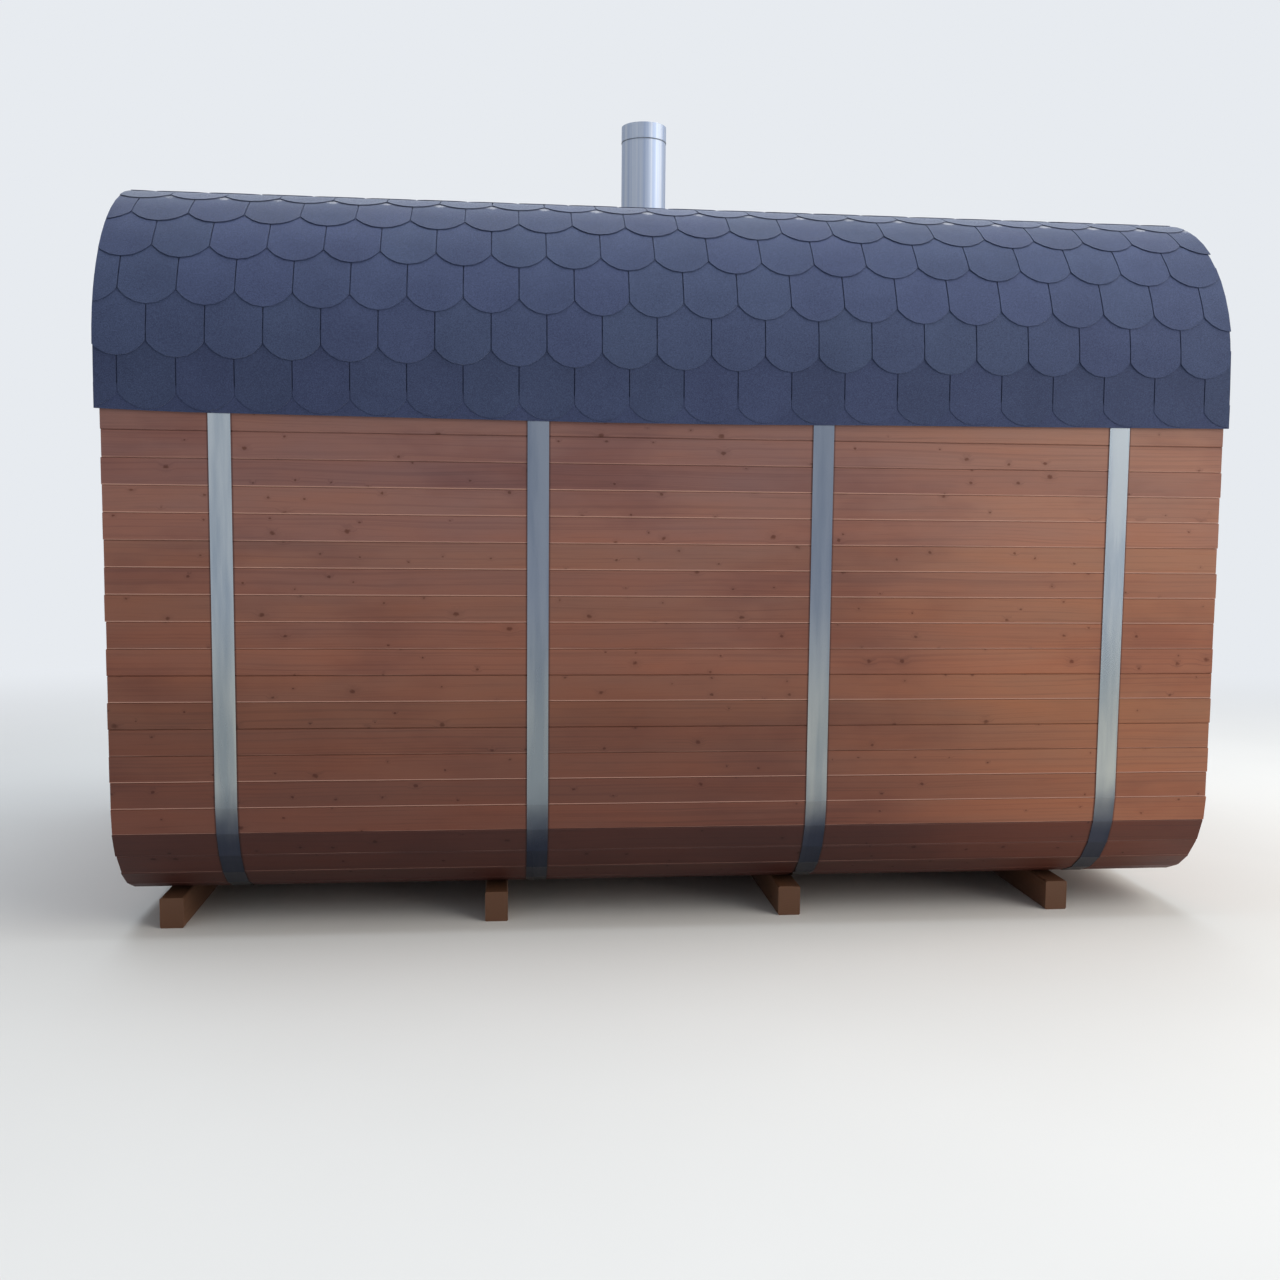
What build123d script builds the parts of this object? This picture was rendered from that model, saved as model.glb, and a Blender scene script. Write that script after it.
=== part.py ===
from build123d import *
from math import ceil, cos, sin, tan, radians, pi
import os

# Shell of bevelled staves, a rounded square in section, run along X
shell_length = 4100
stave_width = 95.74
stave_thickness = 42
stave_joint_gap = 0.35
stave_edge_bevel = 3
tongue_length = 8
tongue_thickness = 9
tongue_clearance = 0.4
floor_stave_count = 18
lower_corner_stave_count = 6
wall_stave_count = 17
upper_corner_stave_count = 11
roof_stave_count = 12

# Staves are cut one by one, so their ends fall short of the full length by a little
stave_end_trims = (0, 3, 1, 4, 0, 2, 3, 1, 2)

# Clearance between pieces that rest on or fit into each other
seat_gap = 0.3

# Foot beams across the underside
left_foot_beam_insets = (166, 1364)
right_foot_beam_insets = (1603, 523)
foot_beam_width = 86
foot_beam_height = 114
foot_beam_set_back = 150
foot_beam_edge_bevel = 4

# Steel bands, with a lugged joint under the floor
left_band_insets = (403, 1515)
right_band_insets = (1542, 410)
band_width = 77
band_thickness = 1.5
band_joint_place = 420
band_joint_length = 60
lug_width = 32
lug_height = 34
lug_thickness = 5

# Shingle covering in lapped courses, eave to ridge
eave_height = 1882
shingle_course_count = 10
shingle_butt_thickness = 10
shingle_top_thickness = 6
shingle_end_overhang = 17
ridge_cap_width = 250
ridge_cap_thickness = 4

# End walls of upright boards, set back from the stave ends
end_wall_set_back = 120
end_board_width = 95.74
end_board_thickness = 42
end_board_bevel = 3

# Doorway and door in the right-hand end wall
doorway_board_count = 8
doorway_height = 1900
doorway_sill_height = 90
door_frame_width = 45
door_frame_depth = 70
door_leaf_gap = 3
door_leaf_thickness = 40
door_stile_width = 95
door_top_rail_height = 110
door_bottom_rail_height = 260
door_glass_thickness = 8
door_proud = 10
hinge_margin = 180
hinge_count = 3
hinge_height = 90
hinge_width = 34
hinge_leaf_thickness = 2.5
hinge_pin_diameter = 12
handle_length = 420
handle_width = 32
handle_thickness = 22
handle_corner_radius = 10
handle_foot_diameter = 26
handle_foot_margin = 60
handle_stand_off = 38
handle_height = 1050

# Chimney through the roof, twin-walled
chimney_place = (-40, 0)
chimney_top_height = 3280
chimney_sleeve_diameter = 197
chimney_flue_diameter = 130
chimney_wall = 1.2
chimney_top_ring_height = 66
chimney_top_ring_wall = 2
chimney_top_ring_proud = 1
chimney_room_stub = 110
chimney_opening_stave_count = 4
chimney_opening_length = 380
plate_overlap = 45
plate_thickness = 2
flashing_cone_height = 70
flashing_cone_flare = 45

# Sizes worked out from the ones above
floor_width = floor_stave_count * stave_width
roof_width = roof_stave_count * stave_width
lower_corner_radius = stave_width / 2 / sin(pi / 4 / lower_corner_stave_count)
shell_width = floor_width + 2 * lower_corner_radius
wall_outside = shell_width / 2
upper_corner_radius = (shell_width - roof_width) / 2
upper_corner_stave_width = 2 * upper_corner_radius * sin(pi / 4 / upper_corner_stave_count)
shell_bottom = foot_beam_height + seat_gap
wall_top = shell_bottom + lower_corner_radius + wall_stave_count * stave_width
shell_top = wall_top + upper_corner_radius
floor_top = shell_bottom + stave_thickness
ceiling = shell_top - stave_thickness
shell_end = shell_length / 2
foot_beam_places = [inset - shell_end for inset in left_foot_beam_insets]
foot_beam_places += [shell_end - inset for inset in right_foot_beam_insets]
band_places = [inset - shell_end for inset in left_band_insets]
band_places += [shell_end - inset for inset in right_band_insets]
band_reach = seat_gap + band_thickness
end_wall_outside = shell_end - end_wall_set_back
end_wall_inside = end_wall_outside - end_board_thickness
doorway_width = doorway_board_count * end_board_width
doorway_bottom = floor_top + doorway_sill_height
covering_length = shell_length + 2 * shingle_end_overhang
covering_under = band_reach + seat_gap
covering_butt = covering_under + shingle_butt_thickness
covering_thin = covering_under + shingle_top_thickness
eave_to_curve = wall_top - eave_height
curve_length = upper_corner_radius * pi / 2
chimney_opening_width = chimney_opening_stave_count * stave_width

# Runs of staves round the section from the near edge of the floor, with the turn of each in degrees
stave_runs = (
    ("near_lower_corner_staves", lower_corner_stave_count, stave_width, 90),
    ("near_wall_staves", wall_stave_count, stave_width, 0),
    ("near_upper_corner_staves", upper_corner_stave_count, upper_corner_stave_width, 90),
    ("roof_staves", roof_stave_count, stave_width, 0),
    ("far_upper_corner_staves", upper_corner_stave_count, upper_corner_stave_width, 90),
    ("far_wall_staves", wall_stave_count, stave_width, 0),
    ("far_lower_corner_staves", lower_corner_stave_count, stave_width, 90),
    ("floor_staves", floor_stave_count, stave_width, 0),
)


def walk_round():
    # Each stave in turn: its run, outer starting corner, facing along the section, and width
    staves = []
    corner = Vector(-floor_width / 2, shell_bottom)
    facing = 180
    for name, count, width, turn in stave_runs:
        for number in range(count):
            facing -= turn / count / 2
            staves.append((name, corner, facing, width))
            corner = corner + Vector(width, 0).rotate(Axis.Z, facing)
            facing -= turn / count / 2
    return staves


staves = walk_round()


def mitre(index):
    # Half the turn from one stave to the next, in degrees
    before = staves[index % len(staves)][2]
    after = staves[(index + 1) % len(staves)][2]
    return ((before - after) % 360) / 2


outline_corners = [stave[1] for index, stave in enumerate(staves) if mitre(index - 1) > 0]


def stave_place(index):
    # Where a stave's own outer starting corner lies in the section
    name, corner, facing, width = staves[index]
    return Location((corner.X, corner.Y, 0), (0, 0, facing))


def joint_place(index, at_end):
    # Middle of one mitred side of a stave, turned square to the joint
    if at_end:
        slope = -mitre(index)
        outer = staves[index][3] - stave_joint_gap / 2
    else:
        slope = mitre(index - 1)
        outer = stave_joint_gap / 2
    middle = outer + stave_thickness / 2 * tan(radians(slope))
    return Location((middle, -stave_thickness / 2, 0), (0, 0, slope))


def stave_section(index):
    # Plain section of a stave, mitred to its neighbours and bevelled outside, half the joint gap in each side
    start = stave_joint_gap / 2
    end = staves[index][3] - stave_joint_gap / 2
    start_slope = tan(radians(mitre(index - 1)))
    end_slope = tan(radians(mitre(index)))
    return [
        (start + stave_edge_bevel, 0),
        (end - stave_edge_bevel, 0),
        (end - stave_edge_bevel * end_slope, -stave_edge_bevel),
        (end - stave_thickness * end_slope, -stave_thickness),
        (start + stave_thickness * start_slope, -stave_thickness),
        (start + stave_edge_bevel * start_slope, -stave_edge_bevel),
    ]


def stave_run(name):
    # Staves side by side, each a plank with its tongue in the next one's groove
    members = [index for index, stave in enumerate(staves) if stave[0] == name]
    groove_depth = tongue_length + tongue_clearance
    groove_width = tongue_thickness + 2 * tongue_clearance
    with BuildPart() as run:
        for index in members:
            left_trim = stave_end_trims[index % len(stave_end_trims)]
            right_trim = stave_end_trims[-index % len(stave_end_trims)]
            with BuildSketch(Plane.YZ.offset(left_trim - shell_end)):
                with Locations(stave_place(index)):
                    Polygon(*stave_section(index), align=None)
                with Locations(stave_place(index) * joint_place(index, at_end=False)):
                    Rectangle(groove_depth, groove_width, align=(Align.MIN, Align.CENTER), mode=Mode.SUBTRACT)
                with Locations(stave_place(index) * joint_place(index, at_end=True)):
                    Rectangle(2 * tongue_length, tongue_thickness)
            extrude(amount=shell_length - left_trim - right_trim)
        if name == "roof_staves":
            chimney_opening()
    return run


def chimney_opening():
    # Clear way for the chimney, some staves wide, cut from the part being built
    with Locations((*chimney_place, shell_top)):
        Box(chimney_opening_length, chimney_opening_width, 4 * stave_thickness, mode=Mode.SUBTRACT)


def finish(piece, name):
    # Name the piece and write its file
    piece.part.label = name
    export_step(piece.part, f"parts/{name}.step")


def shell_staves():
    for name, count, width, turn in stave_runs:
        finish(stave_run(name), name)


def steel_band(place):
    # Flat strap round the whole section, its ends turned down in lugs under the floor
    band_bottom = shell_bottom - band_reach
    joint_ends = (band_joint_place - band_joint_length / 2, band_joint_place + band_joint_length / 2)
    with BuildPart() as band:
        with BuildSketch(Plane.YZ.offset(place)):
            with BuildSketch(mode=Mode.PRIVATE) as shell_outline:
                Polygon(*outline_corners, align=None)
            with BuildSketch(mode=Mode.PRIVATE) as strap_inside:
                offset(shell_outline.sketch, amount=seat_gap, kind=Kind.INTERSECTION)
            offset(shell_outline.sketch, amount=band_reach, kind=Kind.INTERSECTION)
            add(strap_inside.sketch, mode=Mode.SUBTRACT)
            with Locations((band_joint_place, band_bottom)):
                Rectangle(band_joint_length, 4 * band_reach, mode=Mode.SUBTRACT)
        extrude(amount=band_width / 2, both=True)
        with BuildSketch(Plane.YZ.offset(place)):
            for end, side in zip(joint_ends, (Align.MAX, Align.MIN)):
                with Locations((end, band_bottom + band_thickness)):
                    Rectangle(lug_thickness, lug_height, align=(side, Align.MAX))
        extrude(amount=lug_width / 2, both=True)
    return band


def steel_bands():
    for number, place in enumerate(band_places, start=1):
        finish(steel_band(place), f"steel_band_{number}")


def foot_beams():
    # Square beams on the ground, housed where a band crosses them
    beam_length = shell_width - 2 * foot_beam_set_back
    housing = band_thickness + 2 * seat_gap
    for number, place in enumerate(foot_beam_places, start=1):
        with BuildPart() as beam:
            with BuildSketch(Plane.YZ.offset(place)):
                Rectangle(beam_length, foot_beam_height, align=(Align.CENTER, Align.MIN))
            extrude(amount=foot_beam_width / 2, both=True)
            chamfer(beam.edges().filter_by(Axis.Y), length=foot_beam_edge_bevel)
            with Locations(*[(band_place, 0, foot_beam_height) for band_place in band_places]):
                Box(band_width + 2 * housing, beam_length, 2 * housing, mode=Mode.SUBTRACT)
        finish(beam, f"foot_beam_{number}")


def roof_point(distance, height):
    # Point on the smooth roof line, so far along from the near eave and so high above the shell
    if distance <= eave_to_curve:
        return (-wall_outside - height, eave_height + distance)
    if distance >= eave_to_curve + curve_length:
        return (distance - eave_to_curve - curve_length - roof_width / 2, shell_top + height)
    angle = (distance - eave_to_curve) / upper_corner_radius
    reach = upper_corner_radius + height
    return (-roof_width / 2 - reach * cos(angle), wall_top + reach * sin(angle))


def roof_span(start, start_height, end, end_height):
    # Lines and arcs along the roof between two distances from the eave
    curve_ends = (eave_to_curve, eave_to_curve + curve_length)
    breaks = [start, end]
    breaks += [place for place in curve_ends if min(start, end) < place < max(start, end)]
    breaks.sort(reverse=end < start)
    slope = (end_height - start_height) / (end - start)
    for first, last in zip(breaks, breaks[1:]):
        middle = (first + last) / 2
        spots = (first, middle, last)
        points = [roof_point(spot, start_height + slope * (spot - start)) for spot in spots]
        if curve_ends[0] < middle < curve_ends[1]:
            ThreePointArc(*points)
        else:
            Line(points[0], points[2])


def shingle_covering():
    # Lapped courses from eave to crown, each butt standing proud of the course below
    slope_length = eave_to_curve + curve_length + roof_width / 2 - seat_gap
    exposure = slope_length / shingle_course_count
    with BuildPart() as near_courses:
        with BuildSketch(Plane.YZ.offset(-covering_length / 2)):
            with BuildLine():
                Line(roof_point(0, covering_under), roof_point(0, covering_butt))
                for course in range(shingle_course_count):
                    start = course * exposure
                    end = start + exposure
                    if course:
                        Line(roof_point(start, covering_thin), roof_point(start, covering_butt))
                    roof_span(start, covering_butt, end, covering_thin)
                Line(roof_point(slope_length, covering_thin), roof_point(slope_length, covering_under))
                roof_span(slope_length, covering_under, 0, covering_under)
            make_face()
        extrude(amount=covering_length)
        chimney_opening()
    finish(near_courses, "near_shingle_courses")
    with BuildPart() as far_courses:
        mirror(near_courses.part, about=Plane.XZ)
    finish(far_courses, "far_shingle_courses")
    cap_rise = (covering_butt - covering_thin) * ridge_cap_width / 2 / exposure
    cap_bottom = shell_top + covering_thin + cap_rise + seat_gap
    plate_length = chimney_opening_length + 2 * plate_overlap + 2 * seat_gap
    with BuildPart() as ridge_cap:
        with BuildSketch(Plane.XY.offset(cap_bottom)):
            Rectangle(covering_length, ridge_cap_width)
        extrude(amount=ridge_cap_thickness)
        with Locations((chimney_place[0], 0, cap_bottom)):
            Box(plate_length, ridge_cap_width, 4 * ridge_cap_thickness, mode=Mode.SUBTRACT)
    finish(ridge_cap, "ridge_cap")


def end_boards(place, facing, doorway):
    # Upright boards filling the section, left out where the doorway is
    columns = 2 * ceil(wall_outside / end_board_width)
    with BuildPart() as boards:
        with BuildSketch(Plane.YZ.offset(place)):
            with BuildSketch(mode=Mode.PRIVATE) as opening:
                Polygon(*outline_corners, align=None)
                offset(amount=-stave_thickness - seat_gap, kind=Kind.INTERSECTION, mode=Mode.REPLACE)
            with GridLocations(end_board_width, 1, columns, 1):
                Rectangle(end_board_width - stave_joint_gap, 2 * shell_top)
            add(opening.sketch, mode=Mode.INTERSECT)
            if doorway:
                with Locations((0, doorway_bottom + doorway_height / 2)):
                    Rectangle(doorway_width, doorway_height, mode=Mode.SUBTRACT)
        extrude(amount=facing * end_board_thickness)
        outer_face = boards.faces().group_by(Axis.X)[-1 if facing > 0 else 0]
        chamfer(outer_face.edges().filter_by(Axis.Z), length=end_board_bevel)
    return boards


def end_walls():
    finish(end_boards(-end_wall_inside, -1, doorway=False), "blind_end_boards")
    finish(end_boards(end_wall_inside, 1, doorway=True), "door_end_boards")


def door():
    # Fixed timber frame in the doorway, with a glazed leaf hung on its left jamb
    frame_height = doorway_height - 2 * seat_gap
    frame_width = doorway_width - 2 * seat_gap
    frame_bottom = doorway_bottom + seat_gap
    door_face = end_wall_outside + door_proud
    leaf_width = frame_width - 2 * door_frame_width - 2 * door_leaf_gap
    leaf_height = frame_height - 2 * door_frame_width - 2 * door_leaf_gap
    leaf_bottom = frame_bottom + door_frame_width + door_leaf_gap
    jamb_place = frame_width / 2 - door_frame_width / 2
    with BuildPart() as frame:
        with BuildSketch(Plane.YZ.offset(door_face)):
            with Locations((-jamb_place, frame_bottom), (jamb_place, frame_bottom)):
                Rectangle(door_frame_width, frame_height, align=(Align.CENTER, Align.MIN))
            with Locations((0, frame_bottom), (0, frame_bottom + frame_height - door_frame_width)):
                head_width = frame_width - 2 * door_frame_width - 2 * seat_gap
                Rectangle(head_width, door_frame_width, align=(Align.CENTER, Align.MIN))
        extrude(amount=-door_frame_depth)
    finish(frame, "door_frame")
    stile_place = leaf_width / 2 - door_stile_width / 2
    rail_width = leaf_width - 2 * door_stile_width - 2 * seat_gap
    with BuildPart() as leaf:
        with BuildSketch(Plane.YZ.offset(door_face)):
            with Locations((-stile_place, leaf_bottom), (stile_place, leaf_bottom)):
                Rectangle(door_stile_width, leaf_height, align=(Align.CENTER, Align.MIN))
            with Locations((0, leaf_bottom)):
                Rectangle(rail_width, door_bottom_rail_height, align=(Align.CENTER, Align.MIN))
            with Locations((0, leaf_bottom + leaf_height)):
                Rectangle(rail_width, door_top_rail_height, align=(Align.CENTER, Align.MAX))
        extrude(amount=-door_leaf_thickness)
    finish(leaf, "door_leaf")
    glass_height = leaf_height - door_top_rail_height - door_bottom_rail_height - 2 * seat_gap
    glass_bottom = leaf_bottom + door_bottom_rail_height + seat_gap
    with BuildPart() as glass:
        with BuildSketch(Plane.YZ.offset(door_face - (door_leaf_thickness - door_glass_thickness) / 2)):
            with Locations((0, glass_bottom)):
                Rectangle(rail_width, glass_height, align=(Align.CENTER, Align.MIN))
        extrude(amount=-door_glass_thickness)
    finish(glass, "door_glass")
    hinge_line = door_frame_width - frame_width / 2
    hinge_face = door_face + seat_gap
    hinge_spacing = (leaf_height - 2 * hinge_margin) / (hinge_count - 1)
    with BuildPart() as hinges:
        for number in range(hinge_count):
            hinge_bottom = leaf_bottom + hinge_margin + number * hinge_spacing - hinge_height / 2
            with BuildSketch(Plane.XY.offset(hinge_bottom)):
                with Locations((hinge_face, hinge_line)):
                    Rectangle(hinge_leaf_thickness, 2 * hinge_width, align=(Align.MIN, Align.CENTER))
                with Locations((hinge_face + hinge_pin_diameter / 2, hinge_line)):
                    Circle(hinge_pin_diameter / 2)
            extrude(amount=hinge_height)
    finish(hinges, "door_hinges")
    foot_spread = handle_length - 2 * handle_foot_margin
    with BuildPart() as handle:
        with BuildSketch(Plane.YZ.offset(hinge_face + handle_stand_off)):
            with Locations((stile_place, handle_height)):
                RectangleRounded(handle_width, handle_length, handle_corner_radius)
        extrude(amount=handle_thickness)
        with BuildSketch(Plane.YZ.offset(hinge_face)):
            with Locations((stile_place, handle_height)):
                with GridLocations(1, foot_spread, 1, 2):
                    Circle(handle_foot_diameter / 2)
        extrude(amount=handle_stand_off)
    finish(handle, "door_handle")


def chimney():
    # Twin-walled pipe through the roof, flashed outside and plated under the ceiling
    centre = Plane(origin=(*chimney_place, 0))
    flue_bottom = ceiling - chimney_room_stub
    flue_top = chimney_top_height - chimney_top_ring_wall - seat_gap
    sleeve_radius = chimney_sleeve_diameter / 2
    flue_radius = chimney_flue_diameter / 2
    sleeve_top = chimney_top_height - chimney_top_ring_height
    ring_radius = sleeve_radius + chimney_top_ring_proud
    plate_size = (chimney_opening_length + 2 * plate_overlap, chimney_opening_width + 2 * plate_overlap)
    with BuildPart() as sleeve:
        with BuildSketch(centre.offset(ceiling)):
            Circle(sleeve_radius)
            Circle(sleeve_radius - chimney_wall, mode=Mode.SUBTRACT)
        extrude(amount=sleeve_top - ceiling)
    finish(sleeve, "chimney_sleeve")
    with BuildPart() as liner:
        with BuildSketch(centre.offset(flue_bottom)):
            Circle(flue_radius + chimney_wall)
            Circle(flue_radius, mode=Mode.SUBTRACT)
        extrude(amount=flue_top - flue_bottom)
    finish(liner, "chimney_flue")
    with BuildPart() as top_ring:
        with BuildSketch(centre.offset(sleeve_top + seat_gap)):
            Circle(ring_radius)
            Circle(ring_radius - chimney_top_ring_wall, mode=Mode.SUBTRACT)
        extrude(amount=chimney_top_ring_height - seat_gap)
        with BuildSketch(centre.offset(chimney_top_height - chimney_top_ring_wall)):
            Circle(ring_radius)
            Circle(flue_radius, mode=Mode.SUBTRACT)
        extrude(amount=chimney_top_ring_wall)
    finish(top_ring, "chimney_top_ring")
    flashing_bottom = shell_top + covering_butt + seat_gap
    cone_foot = sleeve_radius + flashing_cone_flare
    cone_top = sleeve_radius + seat_gap
    with BuildPart() as flashing:
        with BuildSketch(centre.offset(flashing_bottom)):
            Rectangle(*plate_size)
            Circle(cone_foot - plate_thickness, mode=Mode.SUBTRACT)
        extrude(amount=plate_thickness)
        with BuildSketch(Plane(origin=(*chimney_place, flashing_bottom), x_dir=(1, 0, 0), z_dir=(0, -1, 0))):
            Polygon(
                (cone_foot - plate_thickness, 0),
                (cone_foot, 0),
                (cone_top + plate_thickness, flashing_cone_height),
                (cone_top, flashing_cone_height),
                align=None,
            )
        revolve(axis=Axis((*chimney_place, 0), (0, 0, 1)))
    finish(flashing, "chimney_flashing")
    with BuildPart() as ceiling_plate:
        with BuildSketch(centre.offset(ceiling - seat_gap)):
            Rectangle(*plate_size)
            Circle(flue_radius + chimney_wall + seat_gap, mode=Mode.SUBTRACT)
        extrude(amount=-plate_thickness)
    finish(ceiling_plate, "chimney_ceiling_plate")


os.makedirs("parts", exist_ok=True)
foot_beams()
shell_staves()
steel_bands()
shingle_covering()
end_walls()
door()
chimney()
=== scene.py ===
import math
import random

import bmesh
import bpy
from mathutils import Matrix, Vector


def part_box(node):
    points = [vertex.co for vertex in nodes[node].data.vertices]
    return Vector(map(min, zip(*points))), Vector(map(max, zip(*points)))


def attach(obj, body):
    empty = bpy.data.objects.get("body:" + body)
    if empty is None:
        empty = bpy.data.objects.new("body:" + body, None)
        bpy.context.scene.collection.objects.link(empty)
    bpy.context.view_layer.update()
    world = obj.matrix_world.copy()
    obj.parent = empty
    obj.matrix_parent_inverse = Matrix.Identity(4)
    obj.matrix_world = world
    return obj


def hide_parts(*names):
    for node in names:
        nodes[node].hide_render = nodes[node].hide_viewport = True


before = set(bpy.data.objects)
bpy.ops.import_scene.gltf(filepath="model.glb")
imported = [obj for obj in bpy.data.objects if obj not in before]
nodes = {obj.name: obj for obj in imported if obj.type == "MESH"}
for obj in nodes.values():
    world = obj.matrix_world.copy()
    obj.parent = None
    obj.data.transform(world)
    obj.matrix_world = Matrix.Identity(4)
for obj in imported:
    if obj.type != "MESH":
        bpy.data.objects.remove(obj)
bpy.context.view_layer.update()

scene = bpy.context.scene
print("frame loaded:", len(nodes), "nodes")


def linkObject(name, data):
    obj = bpy.data.objects.new(name, data)
    scene.collection.objects.link(obj)
    return obj


# The photo's camera, fitted to stave joints, band edges and shingle tabs
cameraSettings = {
    "place": (-0.6386, -5.8784, 1.491),
    "lens": 36.04,
    "sensor": 36,
    "clipEnd": 200,
    "yaw": 5.85,     # degrees to the right
    "pitch": 4.92,   # degrees down
    "roll": 0.53,
}


def addCamera(s):
    data = bpy.data.cameras.new("photoCamera")
    data.sensor_width = s["sensor"]
    data.sensor_fit = "HORIZONTAL"
    data.lens = s["lens"]
    data.clip_end = s["clipEnd"]
    camera = linkObject("photoCamera", data)
    turn = Matrix.Rotation(math.radians(-s["yaw"]), 4, "Z")
    tilt = Matrix.Rotation(math.radians(90 - s["pitch"]), 4, "X")
    lean = Matrix.Rotation(math.radians(s["roll"]), 4, "Z")
    camera.matrix_world = Matrix.Translation(s["place"]) @ turn @ tilt @ lean
    scene.camera = camera


addCamera(cameraSettings)


# Sizes that the pieces share with the construction, in metres
shell = {
    "staveWidth": 0.09574,
    "lowerCornerStaves": 6,
    "upperCornerStaves": 11,
    "bottom": 0.1143,
    "wallOutside": 1.2284063,
    "wallTop": 2.1086281,
    "halfFloor": 0.86166,
    "halfRoof": 0.57444,
    "top": 2.7625926,
    "eave": 1.882,
    "chimney": -0.04,
}
shell["lowerRadius"] = shell["wallOutside"] - shell["halfFloor"]
shell["upperRadius"] = shell["wallOutside"] - shell["halfRoof"]
shell["wallBottom"] = shell["bottom"] + shell["lowerRadius"]
bandNames = [f"steel_band_{number}" for number in range(1, 5)]
bandBoxes = [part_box(name) for name in bandNames]
bandPlaces = [(low.x + high.x) / 2 for low, high in bandBoxes]
bandHalf = (bandBoxes[0][1].x - bandBoxes[0][0].x) / 2


# Small helpers for node trees

def join(tree, value, socket):
    # A number or colour is set on the socket, another node's output is linked to it
    if isinstance(value, bpy.types.NodeSocket):
        tree.links.new(value, socket)
    elif value is not None:
        socket.default_value = value


def maths(tree, kind, *values, clamp=False):
    node = tree.nodes.new("ShaderNodeMath")
    node.operation = kind
    node.use_clamp = clamp
    for value, socket in zip(values, node.inputs):
        join(tree, value, socket)
    return node.outputs[0]


def plus(tree, first, second):
    return maths(tree, "ADD", first, second)


def minus(tree, first, second):
    return maths(tree, "SUBTRACT", first, second)


def times(tree, first, second):
    return maths(tree, "MULTIPLY", first, second)


def timesPlus(tree, value, factor, extra):
    return maths(tree, "MULTIPLY_ADD", value, factor, extra)


def bothLength(tree, first, second):
    squares = plus(tree, times(tree, first, first), times(tree, second, second))
    return maths(tree, "POWER", squares, 0.5)


def span(tree, value, low, high):
    # Rises smoothly from 0 at low to 1 at high
    node = tree.nodes.new("ShaderNodeMapRange")
    node.interpolation_type = "SMOOTHSTEP"
    for given, socket in zip((value, low, high), node.inputs):
        join(tree, given, socket)
    return node.outputs[0]


def vector(tree, x=0.0, y=0.0, z=0.0):
    node = tree.nodes.new("ShaderNodeCombineXYZ")
    for value, socket in zip((x, y, z), node.inputs):
        join(tree, value, socket)
    return node.outputs[0]


def cloud(tree, place, scale, detail=3.0, rough=0.5):
    node = tree.nodes.new("ShaderNodeTexNoise")
    settings = {"Vector": place, "Scale": scale, "Detail": detail, "Roughness": rough}
    for label, value in settings.items():
        join(tree, value, node.inputs[label])
    return node.outputs[0]


def drawnCloud(tree, along, across, pattern):
    # A cloud drawn out along a board
    alongScale, acrossScale, detail, rough = pattern
    place = vector(tree, times(tree, along, alongScale), times(tree, across, acrossScale))
    return cloud(tree, place, 1.0, detail, rough)


def blend(tree, factor, first, second, kind="MIX"):
    node = tree.nodes.new("ShaderNodeMix")
    node.data_type = "RGBA"
    node.blend_type = kind
    join(tree, factor, node.inputs[0])
    join(tree, first, node.inputs[6])
    join(tree, second, node.inputs[7])
    return node.outputs[2]


def tint(tree, factor, colour, by):
    return blend(tree, factor, colour, by, "MULTIPLY")


def shades(tree, factor, stops):
    node = tree.nodes.new("ShaderNodeValToRGB")
    ramp = node.color_ramp
    while len(ramp.elements) < len(stops):
        ramp.elements.new(0.5)
    for element, (place, colour) in zip(ramp.elements, stops):
        element.position = place
        element.color = (*colour[:3], 1)
    join(tree, factor, node.inputs[0])
    return node.outputs[0]


def separate(tree, colour):
    node = tree.nodes.new("ShaderNodeSeparateColor")
    join(tree, colour, node.inputs[0])
    return node.outputs[0], node.outputs[1], node.outputs[2]


def objectPlace(tree):
    # Object coordinates and their three parts
    coords = tree.nodes.new("ShaderNodeTexCoord")
    parts = tree.nodes.new("ShaderNodeSeparateXYZ")
    join(tree, coords.outputs["Object"], parts.inputs[0])
    return coords.outputs["Object"], parts.outputs[0], parts.outputs[1], parts.outputs[2]


def facesAlong(tree, axis):
    # 1 on faces that look along the axis, such as the sawn ends of boards
    coords = tree.nodes.new("ShaderNodeTexCoord")
    parts = tree.nodes.new("ShaderNodeSeparateXYZ")
    join(tree, coords.outputs["Normal"], parts.inputs[0])
    return maths(tree, "GREATER_THAN", maths(tree, "ABSOLUTE", parts.outputs[axis]), 0.8)


def faceValue(tree, name):
    node = tree.nodes.new("ShaderNodeAttribute")
    node.attribute_name = name
    return node.outputs["Fac"]


def newGroup(name, inputs, outputs):
    group = bpy.data.node_groups.new(name, "ShaderNodeTree")
    kinds = {"value": "NodeSocketFloat", "colour": "NodeSocketColor", "vector": "NodeSocketVector"}
    for label, kind in inputs:
        group.interface.new_socket(label, in_out="INPUT", socket_type=kinds[kind])
    for label, kind in outputs:
        group.interface.new_socket(label, in_out="OUTPUT", socket_type=kinds[kind])
    given = group.nodes.new("NodeGroupInput").outputs
    return group, given, group.nodes.new("NodeGroupOutput").inputs


def useGroup(tree, group, **values):
    node = tree.nodes.new("ShaderNodeGroup")
    node.node_tree = group
    for label, value in values.items():
        join(tree, value, node.inputs[label])
    return node.outputs


def newMaterial(name):
    material = bpy.data.materials.new(name)
    material.use_nodes = True
    tree = material.node_tree
    return material, tree, tree.nodes["Principled BSDF"]


def finish(tree, shader, colour, roughness, **settings):
    # Links what varies over the surface, and sets what doesn't on the shader itself
    join(tree, colour, shader.inputs["Base Color"])
    join(tree, roughness, shader.inputs["Roughness"])
    for label, value in settings.items():
        shader.inputs[label.replace("_", " ")].default_value = value


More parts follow.
